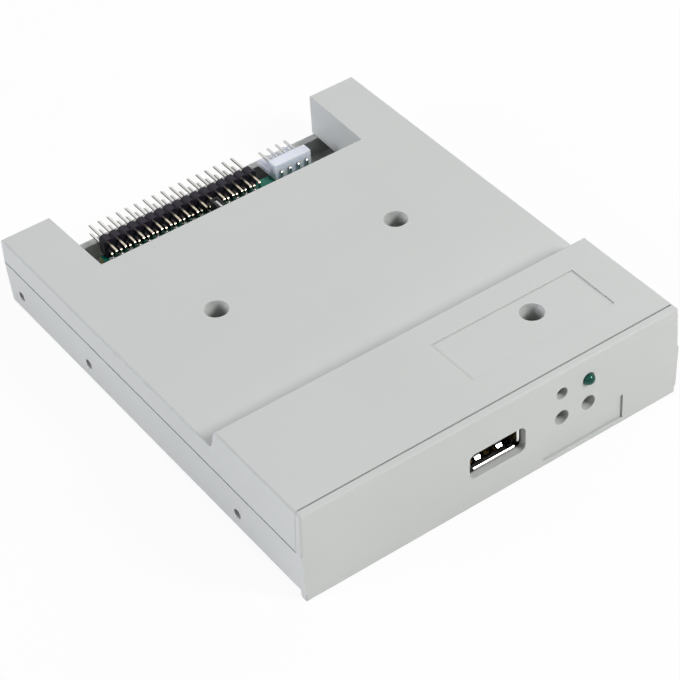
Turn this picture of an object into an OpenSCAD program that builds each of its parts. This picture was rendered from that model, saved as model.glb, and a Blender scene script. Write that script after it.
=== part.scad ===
// Floppy drive emulator: a 3.5-inch drive case with a USB socket in place of the disk slot.
// Millimetres. +X is the width, +Y runs from the front panel to the rear, +Z is up.
// The origin is the middle of the bounding box, in its lowest plane.
// Inside the modules, y counts from the front face and z from the underside of the case.

/* [Case] */
// Width of the case at the seam
case_w = 101.6; // [97:0.2:130]
// Depth from the front face to the rear posts
case_l = 121; // [119.5:0.5:160]
// Height of the raised front part
raised_h = 23; // [21:0.1:30]
// Height of the main top
main_h = 17.7; // [16.4:0.1:20]
// Height of the seam between the shells
seam_h = 12; // [10:0.1:14]
// Depth of the raised part at its top
step_y = 31.4; // [28:0.1:50]
// Rearward lean of the step's face at its foot
step_lean = 0.8; // [0:0.1:3]
// Fillet at the foot of the step
step_fillet = 1.5; // [0.4:0.1:2.5]
// Thickness of the side and rear walls
wall = 2; // [1.4:0.05:2.4]
// Thickness of the floor
floor_t = 2; // [1.6:0.1:2.6]
// Thickness of the top
roof_t = 2; // [1.2:0.1:2.6]
// Open gap at the seam
seam_gap = 0.45; // [0.1:0.05:0.6]
// Height of the lower case's rim above the seam
rim_h = 1; // [0.4:0.1:2]
// Thickness of the rim
rim_t = 0.8; // [0.5:0.05:1]
// Gap around the rim
rim_gap = 0.15; // [0.05:0.05:0.3]
// Inward lean of the side walls at the underside
low_draft = 0.35; // [0.05:0.05:0.8]
// Inward lean of the side walls at the raised top
high_draft = 0.6; // [0.05:0.05:1.2]
// Forward lean of the rear wall at the underside
rear_slant = 1.25; // [0.05:0.05:2]
// Rounding of the outer edges
edge_r = 0.6; // [0.2:0.1:1]
// Rounding of the rear corners
corner_r = 1; // [0.3:0.1:2]

/* [Front panel] */
// Thickness of the front panel
panel_t = 1.8; // [1.7:0.1:2.6]
// Drop of the panel's lip below the underside
lip_drop = 2; // [0.5:0.1:4]
// Hairline between the panel and the cover's side walls
joint_gap = 0.08; // [0.02:0.02:0.3]
// Width of the groove between the panel and the top
groove_w = 0.4; // [0.2:0.05:0.8]
// Depth of the groove
groove_d = 1.2; // [0.5:0.1:1.8]
// Distance of the groove's ends from the sides
groove_side = 0.6; // [0.6:0.1:6]
// Middle of the shallow recess, from the middle of the panel
recess_x = 23.7; // [20:0.1:28]
// Width of the shallow recess
recess_w = 22.5; // [10:0.1:30]
// Lower edge of the recess
recess_z = -0.3; // [-0.4:0.1:2]
// Height of the recess
recess_h = 6.8; // [3:0.1:7.5]
// Depth of the recess
recess_d = 0.5; // [0.2:0.1:1.2]
// Gap beside the USB shell in its window
window_side = 1; // [0.8:0.05:2]
// Gap above and below the USB shell in its window
window_over = 0.65; // [0.6:0.05:1.2]
// Corner radius of the window
window_r = 1.6; // [0.5:0.1:2.5]

/* [Case screws] */
// Distance of the screws from the middle
screw_x = 25; // [23.5:0.1:25.4]
// Front screw, from the front face
screw_front_y = 19.25; // [17:0.05:24]
// Rear screws, from the front face
screw_rear_y = 68.75; // [62:0.05:80]
// Diameter of the screw's shank
screw_d = 2.8; // [2:0.1:3]
// Length of the screw below its head
screw_l = 8; // [7:0.5:9]
// Diameter of the screw's head
head_d = 5.4; // [4.5:0.1:5.6]
// Height of the screw's head
head_h = 2; // [1.4:0.1:2.6]
// Diameter of the deep holes in the top
bore_d = 5.8; // [5.8:0.1:6.8]
// Outer diameter of the screw tubes
tube_d = 9; // [8.4:0.1:9.6]
// Floor of the screw tubes under the screw's head
tube_floor = 3.7; // [2.5:0.1:4.5]
// Diameter of the posts under the board
post_d = 6.5; // [5:0.1:8]
// Gap around the screw's shank
screw_gap = 0.05; // [0.02:0.01:0.2]

/* [Side holes] */
// Diameter of the screw holes in the sides
side_hole_d = 2.4; // [2:0.1:3.2]
// Front side hole, from the front face
side_hole_y = 24.3; // [18:0.1:30]
// Distance from the front side hole to the middle one
side_hole_pitch = 60; // [50:0.1:65]
// Distance from the middle side hole to the rear one
side_hole_rear = 30; // [20:0.1:30]
// Height of the side holes above the underside
side_hole_z = 4.75; // [4:0.05:6]
// Depth of the side holes
side_hole_depth = 6.2; // [4:0.1:6.5]
// Width of the bosses behind the side holes
side_boss_w = 8; // [6:0.1:9]

/* [Rear notch] */
// Depth of the notch from the rear
notch_l = 22.7; // [20:0.1:26]
// Width of the notch at its front edge
notch_front_w = 73.8; // [70:0.1:75]
// Width of the notch at the rear
notch_rear_w = 75.2; // [72:0.1:76]
// Height of the low rear wall inside the notch
sill_h = 6.2; // [4:0.1:6.6]
// Gap between the notch walls and the lower case
notch_gap = 0.15; // [0.05:0.05:0.3]

/* [Label recess] */
// Middle of the label recess, from the middle of the case
label_x = 21; // [10:0.1:24]
// Width of the label recess
label_w = 39.4; // [20:0.1:44]
// Front edge of the label recess
label_y = 10.15; // [6:0.05:12]
// Depth of the label recess along the case
label_l = 14.3; // [8:0.1:16]
// Depth of the label recess into the top
label_d = 0.25; // [0.1:0.05:0.5]

/* [Board] */
// Width of the board
board_w = 60; // [58.5:0.1:66]
// Front edge of the board, from the front face
board_y = 4; // [3:0.1:4]
// Distance from the board's rear edge to the rear of the case
board_rear = 8.3; // [7:0.1:9]
// Thickness of the board
board_t = 1.6; // [1:0.1:2]
// Height of the posts under the board
standoff_h = 3.4; // [2.8:0.1:4.1]
// Length of the leads below the board
lead_below = 1.2; // [0.6:0.1:1.6]
// Gap around the leads in the board
lead_gap = 0.1; // [0.05:0.01:0.2]

/* [USB socket] */
// Middle of the socket, from the middle of its window
usb_x = 0.3; // [-0.3:0.05:0.3]
// Width of the shell
usb_w = 13.1; // [12.8:0.1:15.8]
// Height of the shell
usb_h = 5.7; // [5.4:0.1:6.9]
// Length of the shell's tube
usb_l = 12.8; // [11:0.1:16]
// Sheet thickness of the shell
usb_t = 0.3; // [0.2:0.05:0.4]
// Height of the shell above the board
usb_lift = 0.15; // [0.05:0.05:0.5]
// Front of the tube, from the front face
usb_y = 2.7; // [2.65:0.05:3.2]
// Reach of the flared mouth in front of the tube
flare_l = 1.1; // [0.6:0.1:1.4]
// Spread of the flared mouth
flare_out = 0.5; // [0.1:0.05:0.5]
// Angle that the mouth's edges turn through, in degrees
flare_turn = 78; // [50:1:80]
// Width of the spring fingers
finger_w = 1.5; // [1.2:0.1:2.2]
// Distance of the spring fingers from the middle
finger_x = 2.9; // [2:0.1:3.4]
// Rise of the spring fingers above the shell's floor
finger_rise = 0.6; // [0.4:0.05:1.2]
// Slope of the spring fingers' free ends, in degrees
finger_slope = 43; // [38:1:50]
// Thickness of the tongue
tongue_t = 1.84; // [1.4:0.02:2]
// Width of the tongue
tongue_w = 11.1; // [9:0.1:11.4]
// Front of the tongue, from the front face
tongue_y = 4.8; // [4:0.1:6]

/* [LED and buttons] */
// Left button, from the middle of the panel
button_x = 17.5; // [16:0.1:18]
// Distance between the two buttons, and between the two LED holes
button_pitch = 7.4; // [7.2:0.1:8.2]
// Diameter of the button holes in the panel
button_hole_d = 3.8; // [3.7:0.1:5]
// Length of the collars behind the button holes
collar_l = 0.8; // [0.2:0.1:1]
// Thickness of the collars
collar_t = 0.9; // [0.5:0.1:1.2]
// Diameter of the buttons
button_d = 3.5; // [2.9:0.1:3.9]
// Front of the buttons, from the front face
button_y = 3.2; // [2.7:0.1:4.5]
// Travel of the buttons
button_travel = 0.25; // [0.1:0.05:0.4]
// Gap around a button in its frame
button_gap = 0.05; // [0.02:0.01:0.1]
// Side length of the square switches
switch_w = 6; // [5.6:0.1:6.2]
// Front of the switches, from the front face
switch_y = 6; // [5:0.1:7]
// Depth of the switch bases
switch_l = 3; // [2.6:0.1:3.5]
// Thickness of the switch frames
frame_t = 0.3; // [0.2:0.05:0.3]
// Diameter of the LED
led_d = 3; // [2:0.1:3]
// Gap around the LED in the panel
led_gap = 0.1; // [0.05:0.05:0.3]
// Height of the LED above the board
led_rise = 10; // [9:0.1:11]
// Reach of the LED's tip in front of the panel
led_proud = 1.4; // [0.1:0.1:1.5]
// Diameter of the spare LED hole
spare_hole_d = 3.1; // [2:0.1:3.4]

/* [Pin header] */
// Number of pins in a row
header_pins = 17; // [13:1:17]
// Spacing of the pins and of the two rows
header_pitch = 2.54; // [2:0.02:2.54]
// Middle of the header, from the middle of the case
header_x = -7.6; // [-9:0.1:-7]
// Side length of the square pins
pin_w = 0.5; // [0.4:0.02:0.8]
// Height of the lower row above the board
header_rise = 1.5; // [1.4:0.05:2]
// Distance from the header body's rear to the rear of the case
header_rear = 7.6; // [6:0.1:8]
// Distance from the pin tips to the rear of the case
tip_rear = 1.1; // [0.5:0.1:3]
// Distance from the lower row's legs to the header body
leg_gap = 0.8; // [0.6:0.1:1.5]
// Depth of the V grooves between the header's units
vee = 0.6; // [0.1:0.05:0.7]

/* [Power connector] */
// Middle of the connector, from the middle of the case
power_x = 24.1; // [24:0.1:24.6]
// Number of pins
power_pins_n = 4; // [2:1:4]
// Spacing of the pins
power_pitch = 2.5; // [2:0.1:2.54]
// Width of the housing
power_w = 10.5; // [10.2:0.1:11]
// Height of the housing's front block
power_h = 4.65; // [4:0.05:6]
// Depth of the housing's front block
power_block = 2.9; // [2:0.1:3.5]
// Thickness of the housing's floor plate
power_plate = 1.2; // [0.8:0.1:1.6]
// Distance from the plate's end to the rear of the case
power_rear = 2.8; // [2.4:0.1:4]
// Distance from the front block to the rear of the case
power_front = 11.4; // [10.5:0.1:12]
// Height of the pins above the board
power_rise = 2.5; // [2.1:0.1:3]

/* [Jumper] */
// Middle of the jumper, from the middle of the case
jumper_x = -1.1; // [-6:0.1:6]
// Distance from the jumper's middle to the rear of the case
jumper_rear = 17; // [16.9:0.1:19]
// Width of the cap
jumper_w = 2.2; // [1.8:0.1:3]
// Length of the cap
jumper_l = 5; // [4.6:0.1:5.4]
// Height of the cap
cap_h = 4.4; // [4:0.1:7]
// Height of the posts' base
jumper_base_h = 2.5; // [1.5:0.1:3]
// Distance between the two posts
post_pitch = 2.54; // [2:0.02:2.54]
// Depth of the posts' tops under the cap's top
post_drop = 0.8; // [0.6:0.1:1.2]
// Thickness of the metal clip in the cap
clip_t = 0.2; // [0.15:0.05:0.3]
// Gap between the posts and the clip
post_gap = 0.05; // [0.02:0.01:0.1]

/* [Small electronics] */
// Side length of the controller's package
chip_w = 10; // [7:0.1:14]
// Leads on each side of the controller
chip_leads_n = 16; // [8:1:16]
// Spacing of the controller's leads
chip_pitch = 0.5; // [0.4:0.05:0.6]
// Middle of the controller, from the front face
chip_y = 48; // [44:0.5:54]
// Diameter of the capacitor cans
can_d = 5; // [4:0.1:6.3]
// Height of the capacitor cans
can_h = 5.2; // [3:0.1:6]
// Number of chip resistors in their row
resistors_n = 11; // [4:1:11]

/* [Hidden] */
// The rounding of an upright edge starts this far outside it, so that it meets the side at an angle
edge_clear = 0.01;
$fn = 48;

// Heights of the board and of what stands on it
board_z = floor_t + standoff_h;
board_top = board_z + board_t;
lead_z = board_z - lead_below;
usb_z = board_top + usb_lift + usb_h / 2;
switch_z = board_top + switch_w / 2;
led_z = board_top + led_rise;
low_pin_z = board_top + header_rise;
high_pin_z = low_pin_z + header_pitch;
power_z = board_top + power_rise;
ledge_z = board_top + tube_floor;
low_top = seam_h - seam_gap;

// Places along the case
board_end = case_l - board_rear;
notch_y = case_l - notch_l;
cover_y = panel_t + joint_gap;
header_back = case_l - header_rear;
header_front = header_back - header_pitch;
low_leg_y = header_front - leg_gap;
high_leg_y = low_leg_y - header_pitch;
tip_y = case_l - tip_rear;
power_y = case_l - power_front;
power_leg_y = power_y - pin_w * 0.75 - 0.05;
jumper_y = case_l - jumper_rear;

// Clip in the jumper's cap: half its width inside and outside, and its length
clip_in = pin_w / 2 + post_gap;
clip_out = clip_in + clip_t;
clip_l = post_pitch + pin_w + 0.8;

// Screw places, and the fourth corner where a peg holds the board
screw_places = [[-screw_x, screw_rear_y], [screw_x, screw_rear_y], [screw_x, screw_front_y]];
peg_place = [-screw_x, screw_front_y];
side_hole_ys = [side_hole_y, side_hole_y + side_hole_pitch,
                side_hole_y + side_hole_pitch + side_hole_rear];
button_xs = [button_x, button_x + button_pitch];

// Half the outer width at a height, with the lean of the moulded walls
function half_w(z) = case_w / 2 - (z < seam_h
  ? low_draft * (seam_h - z) / seam_h
  : high_draft * (z - seam_h) / (raised_h - seam_h));
// Rear face at a height
function rear_y(z) = case_l - (z < seam_h ? rear_slant * (seam_h - z) / seam_h : 0);
// Outer height of the top at a distance from the front face
function top_at(y) = y < step_y ? raised_h : main_h;
// Place of lead i of n in a row
function row_at(i, n, pitch) = (i - (n - 1) / 2) * pitch;

// Points that round corner b of the path from a to c
function rounded(a, b, c, r) =
  let (u = (a - b) / norm(a - b), v = (c - b) / norm(c - b), h = acos(u * v) / 2,
       m = b + (u + v) / norm(u + v) * r / sin(h), p = b + u * r / tan(h), q = b + v * r / tan(h),
       a0 = atan2(p[1] - m[1], p[0] - m[0]), a1 = atan2(q[1] - m[1], q[0] - m[0]),
       turn = (a1 - a0 + 540) % 360 - 180)
  [for (i = [0 : 4]) m + r * [cos(a0 + turn * i / 4), sin(a0 + turn * i / 4)]];
// Outline with each corner rounded by the third number of its point
function soft_outline(ps) =
  let (n = len(ps), xy = [for (p = ps) [p[0], p[1]]])
  [for (i = [0 : n - 1]) each ps[i][2] > 0
    ? rounded(xy[(i + n - 1) % n], xy[i], xy[(i + 1) % n], ps[i][2])
    : [xy[i]]];

// Outline of a square lead that runs from a tip at y = a to a leg at y = b, then down
function bent_lead(a, b, z_axis, z_end, t) =
  let (s = sign(a - b), r = t * 0.75, cy = b + s * r, cz = z_axis - r)
  concat(
    [[a, z_axis - t * 0.22], [a, z_axis + t * 0.22], [a - s * t, z_axis + t / 2]],
    [for (k = [90 : 15 : 180]) [cy + s * (r + t / 2) * cos(k), cz + (r + t / 2) * sin(k)]],
    [[b - s * t / 2, z_end], [b + s * t / 2, z_end]],
    [for (k = [180 : -15 : 90]) [cy + s * (r - t / 2) * cos(k), cz + (r - t / 2) * sin(k)]],
    [[a - s * t, z_axis - t / 2]]);
// Outline of a flat lead from a package's side, down to the board
function gull_lead(reach, rise, t) = [
  [0, rise], [reach * 0.4, rise], [reach * 0.55, t], [reach, t],
  [reach, 0], [reach * 0.45, 0], [reach * 0.3, rise - t], [0, rise - t]];

// Moves a piece from the case's own measures to the shared frame
module seat() {
  translate([0, -(case_l - led_proud) / 2, lip_drop]) children();
}

// Extrudes an outline of (x, z) points from y0 to y1
module along_y(y0, y1) {
  translate([0, y1, 0]) rotate([90, 0, 0]) linear_extrude(y1 - y0) children();
}

// Extrudes an outline of (y, z) points from x0 to x1
module along_x(x0, x1) {
  translate([x0, 0, 0]) rotate([90, 0, 90]) linear_extrude(x1 - x0) children();
}

// A round bar along Y, centred at x, z
module bar_y(x, z, d, y0, y1) {
  translate([x, 0, z]) along_y(y0, y1) circle(d = d);
}

// A block given by its two corners
module block(a, b) {
  translate(a) cube(b - a);
}

// A bar along Y with rounded corners, centred on the Y axis
module rounded_bar(w, h, r, y0, y1) {
  along_y(y0, y1) square([w - 2 * r, h], center = true);
  along_y(y0, y1) square([w, h - 2 * r], center = true);
  for (sx = [-1, 1])
    for (sz = [-1, 1])
      bar_y(sx * (w / 2 - r), sz * (h / 2 - r), 2 * r, y0, y1);
}

// A slice of the leaning side walls between two heights
module wall_slice(z0, z1, y0, y1, inset) {
  along_y(y0, y1) polygon([
    [-half_w(z0) + inset, z0], [half_w(z0) - inset, z0],
    [half_w(z1) - inset, z1], [-half_w(z1) + inset, z1]]);
}

module lower_tray() {
  difference() {
    intersection() {
      along_y(0, case_l + 1) polygon(soft_outline([
        [-half_w(0), 0, edge_r], [half_w(0), 0, edge_r],
        [half_w(low_top), low_top, 0], [-half_w(low_top), low_top, 0]]));
      along_x(-case_w, case_w) polygon(soft_outline([
        [0, 0, 0], [rear_y(0), 0, edge_r], [rear_y(low_top), low_top, 0], [0, low_top, 0]]));
      // Tilted like the rear wall, so that the rounded corners follow its lean
      translate([0, case_l, seam_h]) rotate([-atan(rear_slant / seam_h), 0, 0])
        translate([0, -case_l, -case_l]) linear_extrude(2 * case_l)
          rear_corners();
    }
    intersection() {
      wall_slice(floor_t, seam_h, panel_t, case_l + 1, wall);
      along_x(-case_w, case_w) polygon([
        [panel_t, floor_t], [rear_y(floor_t) - wall, floor_t],
        [rear_y(seam_h) - wall, seam_h], [panel_t, seam_h]]);
    }
    // The rear wall drops to a low sill where the notch is
    block([-notch_rear_w / 2 - wall - notch_gap, rear_y(0) - wall - 2, sill_h],
          [notch_rear_w / 2 + wall + notch_gap, case_l + 1, seam_h]);
  }
}

// Outline of the case from above, with rounded rear corners
module rear_corners() {
  polygon(soft_outline([
    [-case_w / 2, -case_l, 0], [case_w / 2, -case_l, 0],
    [case_w / 2, case_l, corner_r], [-case_w / 2, case_l, corner_r]]));
}

// What rounding takes off an upright front edge, from its corner at the origin
module edge_cutter(h) {
  linear_extrude(h) polygon(concat(
    [[1, -1], [-edge_r, -1]],
    [for (a = [270 : 22.5 : 360]) [edge_r * (cos(a) - 1), edge_r * (sin(a) + 1)]],
    [[1, edge_r]]));
}

module front_panel() {
  tall = 2 * raised_h;
  difference() {
    intersection() {
      along_y(0, panel_t) polygon(soft_outline([
        [-half_w(-lip_drop), -lip_drop, edge_r], [half_w(-lip_drop), -lip_drop, edge_r],
        [case_w / 2, seam_h, 0], [half_w(raised_h), raised_h, edge_r],
        [-half_w(raised_h), raised_h, edge_r], [-case_w / 2, seam_h, 0]]));
      along_x(-case_w, case_w) polygon(soft_outline([
        [0, -lip_drop, edge_r], [panel_t, -lip_drop, edge_r],
        [panel_t, raised_h, 0], [0, raised_h, edge_r]]));
    }
    // The upright edges lean with the sides, one way above the seam and the other below it
    for (s = [-1, 1])
      on_side(s) translate([case_w / 2 + edge_clear, 0, seam_h]) {
        rotate([0, -atan(high_draft / (raised_h - seam_h)), 0]) edge_cutter(tall);
        rotate([0, atan(low_draft / seam_h), 0]) translate([0, 0, -tall]) edge_cutter(tall);
      }
  }
}

module panel_openings() {
  translate([0, 0, usb_z])
    rounded_bar(usb_w + 2 * window_side, usb_h + 2 * window_over, window_r, -1, panel_t + 0.4);
  for (x = button_xs)
    bar_y(x, switch_z, button_hole_d, -1, panel_t + collar_l + 1);
  bar_y(button_xs[0], led_z, spare_hole_d, -1, panel_t + 0.4);
  bar_y(button_xs[1], led_z, led_d + 2 * led_gap, -1, panel_t + 0.4);
  block([recess_x - recess_w / 2, -1, recess_z],
        [recess_x + recess_w / 2, recess_d, recess_z + recess_h]);
}

module lower_case() {
  color("Silver") seat() difference() {
    union() {
      lower_tray();
      front_panel();
      for (x = button_xs)
        bar_y(x, switch_z, button_hole_d + 2 * collar_t, panel_t / 2, panel_t + collar_l);
      // Rim inside the seam on both sides
      for (s = [-1, 1])
        on_side(s)
          block([case_w / 2 - wall + 0.1, panel_t - 0.5, floor_t],
                [case_w / 2 - wall + rim_t, notch_y - 4, seam_h + rim_h]);
      // Posts under the board
      for (p = screw_places)
        translate([p[0], p[1], floor_t / 2]) cylinder(d = post_d, h = board_z - floor_t / 2);
      translate([peg_place[0], peg_place[1], floor_t / 2])
        cylinder(d = post_d, h = board_z - floor_t / 2);
      translate([peg_place[0], peg_place[1], floor_t / 2])
        cylinder(d = screw_d, h = board_top + 0.8 - floor_t / 2);
      for (s = [-1, 1])
        translate([s * (board_w / 2 - 3.5), board_end - 13, floor_t / 2])
          cylinder(d = 4, h = board_z - floor_t / 2);
      // Bosses behind the side holes
      for (s = [-1, 1])
        for (y = side_hole_ys)
          on_side(s)
            block([case_w / 2 - side_hole_depth - 1.4, y - side_boss_w / 2, floor_t / 2],
                  [case_w / 2 - wall / 2 - low_draft, min(y + side_boss_w / 2, case_l - 2.2),
                   side_hole_z + side_boss_w / 2]);
    }
    panel_openings();
    for (s = [-1, 1])
      for (y = side_hole_ys)
        on_side(s)
          translate([case_w / 2 - side_hole_depth, y, side_hole_z])
            rotate([0, 90, 0]) cylinder(d = side_hole_d, h = side_hole_depth + 1);
    for (p = screw_places)
      translate([p[0], p[1], ledge_z - screw_l - 0.5])
        cylinder(d = screw_d + 2 * screw_gap, h = screw_l);
  }
}

// Draws a piece on the right side, or on the left one when s is -1
module on_side(s) {
  if (s < 0)
    mirror([1, 0, 0]) children();
  else
    children();
}

// Side view of the raised part, down to the seam
module raised_outline() {
  foot = [step_y + step_lean, main_h + step_fillet];
  polygon(concat(
    [[cover_y, seam_h], [foot[0] + step_fillet, seam_h]],
    [for (a = [270 : -15 : 180]) foot + step_fillet * [1 + cos(a), sin(a)]],
    rounded(foot, [step_y, raised_h], [cover_y, raised_h], edge_r),
    [[cover_y, raised_h]]));
}

// Side view of the cover's inside
module cover_hollow() {
  polygon([
    [cover_y - 1, seam_h - 1], [cover_y - 1, raised_h - roof_t],
    [step_y - wall, raised_h - roof_t], [step_y + step_lean - wall, main_h - roof_t],
    [case_l - wall, main_h - roof_t], [case_l - wall, seam_h - 1]]);
}

// The cover's front view up to a height, with rounded top edges
module cover_slab(y1, z) {
  along_y(cover_y, y1) polygon(soft_outline([
    [-case_w / 2, seam_h, 0], [case_w / 2, seam_h, 0],
    [half_w(z), z, edge_r], [-half_w(z), z, edge_r]]));
}

module notch_walls() {
  for (s = [-1, 1])
    on_side(s)
      translate([0, 0, sill_h + notch_gap]) linear_extrude(main_h - sill_h - notch_gap - 0.5)
        polygon([
          [notch_front_w / 2, notch_y], [notch_front_w / 2 + wall, notch_y],
          [notch_rear_w / 2 + wall, case_l], [notch_rear_w / 2, case_l]]);
}

module cover_shell() {
  difference() {
    intersection() {
      union() {
        intersection() {
          cover_slab(case_l, main_h);
          along_x(-case_w, case_w) polygon(soft_outline([
            [cover_y, seam_h, 0], [case_l, seam_h, 0],
            [case_l, main_h, edge_r], [cover_y, main_h, 0]]));
        }
        intersection() {
          cover_slab(step_y + 9, raised_h);
          along_x(-case_w, case_w) raised_outline();
        }
      }
      translate([0, 0, seam_h - 1]) linear_extrude(raised_h) rear_corners();
    }
    intersection() {
      along_y(cover_y - 1, case_l - wall) polygon([
        [-case_w / 2 + wall, seam_h - 1], [case_w / 2 - wall, seam_h - 1],
        [half_w(raised_h) - wall, raised_h], [-half_w(raised_h) + wall, raised_h]]);
      along_x(-case_w, case_w) cover_hollow();
    }
    translate([0, 0, seam_h - 1]) linear_extrude(main_h)
      polygon([
        [-notch_front_w / 2, notch_y], [notch_front_w / 2, notch_y],
        [notch_rear_w / 2, case_l + 1], [-notch_rear_w / 2, case_l + 1]]);
    for (s = [-1, 1])
      on_side(s)
        block([case_w / 2 - wall - 1, cover_y - 1, seam_h - 1],
              [case_w / 2 - wall + rim_t + rim_gap, notch_y - 4 + rim_gap,
               seam_h + rim_h + rim_gap]);
  }
}

module top_cover() {
  color("Silver") seat() difference() {
    union() {
      cover_shell();
      notch_walls();
      for (p = screw_places)
        translate([p[0], p[1], board_top])
          cylinder(d = tube_d, h = top_at(p[1]) - roof_t / 2 - board_top);
    }
    for (p = screw_places) {
      translate([p[0], p[1], ledge_z]) cylinder(d = bore_d, h = raised_h);
      translate([p[0], p[1], board_top - 1])
        cylinder(d = screw_d + 2 * screw_gap, h = tube_floor + 2);
    }
    block([-half_w(raised_h) + groove_side, cover_y - 1, raised_h - groove_d],
          [half_w(raised_h) - groove_side, panel_t + groove_w, raised_h + 1]);
    block([label_x - label_w / 2, label_y, raised_h - label_d],
          [label_x + label_w / 2, label_y + label_l, raised_h + 1]);
  }
}

module case_screws() {
  color("Gainsboro") seat()
    for (p = screw_places)
      translate([p[0], p[1], ledge_z]) difference() {
        union() {
          translate([0, 0, -screw_l]) cylinder(d = screw_d, h = screw_l + 0.5);
          cylinder(d = head_d, h = head_h * 0.6);
          translate([0, 0, head_h * 0.6])
            cylinder(d1 = head_d, d2 = head_d * 0.72, h = head_h * 0.4);
        }
        for (a = [0, 90])
          rotate(a) translate([0, 0, head_h]) cube([2.9, 0.75, 2.4], center = true);
      }
}

// Round lead holes at a list of places
module lead_holes(places, t) {
  for (p = places)
    translate([p[0], p[1], board_z - 1]) cylinder(d = t * sqrt(2) + 2 * lead_gap, h = board_t + 2);
}

module main_board() {
  header_xs = [for (i = [0 : header_pins - 1]) header_x + row_at(i, header_pins, header_pitch)];
  color("DarkGreen") seat() difference() {
    block([-board_w / 2, board_y, board_z], [board_w / 2, board_end, board_top]);
    for (p = concat(screw_places, [peg_place]))
      translate([p[0], p[1], board_z - 1]) cylinder(d = screw_d + 0.4, h = board_t + 2);
    lead_holes([for (x = header_xs) [x, low_leg_y]], pin_w);
    lead_holes([for (x = header_xs) [x, high_leg_y]], pin_w);
    lead_holes([for (i = [0 : power_pins_n - 1])
      [power_x + row_at(i, power_pins_n, power_pitch), power_leg_y]], pin_w);
    lead_holes([for (s = [-1, 1]) [jumper_x, jumper_y + s * post_pitch / 2]], pin_w);
    lead_holes([for (s = [-1, 1]) [button_xs[1] + s * 1.27, switch_y + switch_l + 1.6]], 0.5);
    lead_holes([for (x = [-3.5, -1, 1, 3.5]) [usb_x + x, usb_y + usb_l + 0.325]], 0.4);
    lead_holes([for (x = button_xs, s = [-1, 1])
      [x + s * 1.6, switch_y + switch_l - 0.5]], 0.5);
    translate([usb_x, 0, 0]) for (s = [-1, 1])
      on_side(s) block(
        [usb_w / 2 - usb_t - lead_gap, usb_y + 6 - lead_gap, board_z - 1],
        [usb_w / 2 + lead_gap, usb_y + 8 + lead_gap, board_top + 1]);
    for (x = button_xs)
      translate([x, 0, 0]) for (s = [-1, 1])
        on_side(s) block(
          [switch_w / 2 - lead_gap, switch_y + 1 - lead_gap, board_z - 1],
          [switch_w / 2 + frame_t + lead_gap, switch_y + 1.8 + lead_gap, board_top + 1]);
  }
}

// Side view of an edge of the mouth: a sheet along Y that rolls outward at its front
function flare_outline() =
  let (
    front_y = usb_y - flare_l,
    turn_y = front_y + flare_out / tan(flare_turn),
    end_z = flare_out - usb_t)
  soft_outline([
    [usb_y + 0.3, 0, 0], [usb_y + 0.3, -usb_t, 0],
    [turn_y, -usb_t, flare_out * 0.9], [front_y, end_z, 0],
    [front_y + usb_t * sin(flare_turn), end_z + usb_t * cos(flare_turn), 0],
    [turn_y + usb_t * tan(flare_turn / 2), 0, 0]]);

// The mouth's edges turn outward at the front
module usb_flares() {
  for (s = [0, 1])
    mirror([0, 0, s]) translate([0, 0, usb_h / 2])
      along_x(-usb_w / 2 + 1, usb_w / 2 - 1) polygon(flare_outline());
  for (s = [-1, 1])
    on_side(s) translate([usb_w / 2, 0, -usb_h / 2 + 1])
      linear_extrude(usb_h - 2) polygon([for (p = flare_outline()) [p[1], p[0]]]);
}

// A spring finger along Y, with a rounded free end towards the mouth
module usb_finger() {
  in_z = -usb_h / 2 + usb_t;
  top_z = in_z + finger_rise;
  tip = usb_y + 0.65;
  bend = tip + finger_rise / tan(finger_slope);
  intersection() {
    along_x(-finger_w / 2, finger_w / 2) polygon([
      [usb_y + 7.3, in_z], [bend + 0.45, top_z], [bend, top_z - 0.07],
      [tip, in_z - 0.07], [tip + 0.2, in_z - 0.25],
      [bend + 0.12, top_z - 0.33], [bend + 0.42, top_z - 0.27], [usb_y + 7.3, in_z - usb_t]]);
    translate([0, 0, -usb_h]) linear_extrude(2 * usb_h) polygon(soft_outline([
      [-finger_w / 2, usb_y + 0.6, finger_w * 0.3], [finger_w / 2, usb_y + 0.6, finger_w * 0.3],
      [finger_w / 2, usb_y + 8, 0], [-finger_w / 2, usb_y + 8, 0]]));
  }
}

module usb_shell() {
  in_z = -usb_h / 2 + usb_t;
  color("LightGray") seat() translate([usb_x, 0, usb_z]) {
    difference() {
      union() {
        rounded_bar(usb_w, usb_h, 0.8, usb_y, usb_y + usb_l);
        for (s = [-1, 1])
          on_side(s) block([usb_w / 2 - usb_t, usb_y + 6, lead_z - usb_z],
                           [usb_w / 2, usb_y + 8, 0]);
      }
      rounded_bar(usb_w - 2 * usb_t, usb_h - 2 * usb_t, 0.5, usb_y - 1, usb_y + usb_l + 1);
      for (s = [-1, 1])
        block([s * finger_x - finger_w / 2 - 0.3, usb_y + 0.45, -usb_h],
              [s * finger_x + finger_w / 2 + 0.3, usb_y + 7, in_z + 0.1]);
    }
    usb_flares();
    for (s = [-1, 1])
      translate([s * finger_x, 0, 0]) usb_finger();
  }
}

module usb_insulator() {
  back_y = usb_y + usb_l;
  color("DimGray") seat() translate([usb_x, 0, usb_z]) difference() {
    union() {
      rounded_bar(usb_w - 2 * usb_t - 0.1, usb_h - 2 * usb_t - 0.1, 0.5, back_y - 4.6, back_y);
      block([-tongue_w / 2, tongue_y, 0.05], [tongue_w / 2, back_y - 4, 0.05 + tongue_t]);
    }
    for (x = [-3.5, -1, 1, 3.5])
      block([x - 0.55, tongue_y + 0.5, -0.18], [x + 0.55, back_y + 1, 0.05]);
  }
}

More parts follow.
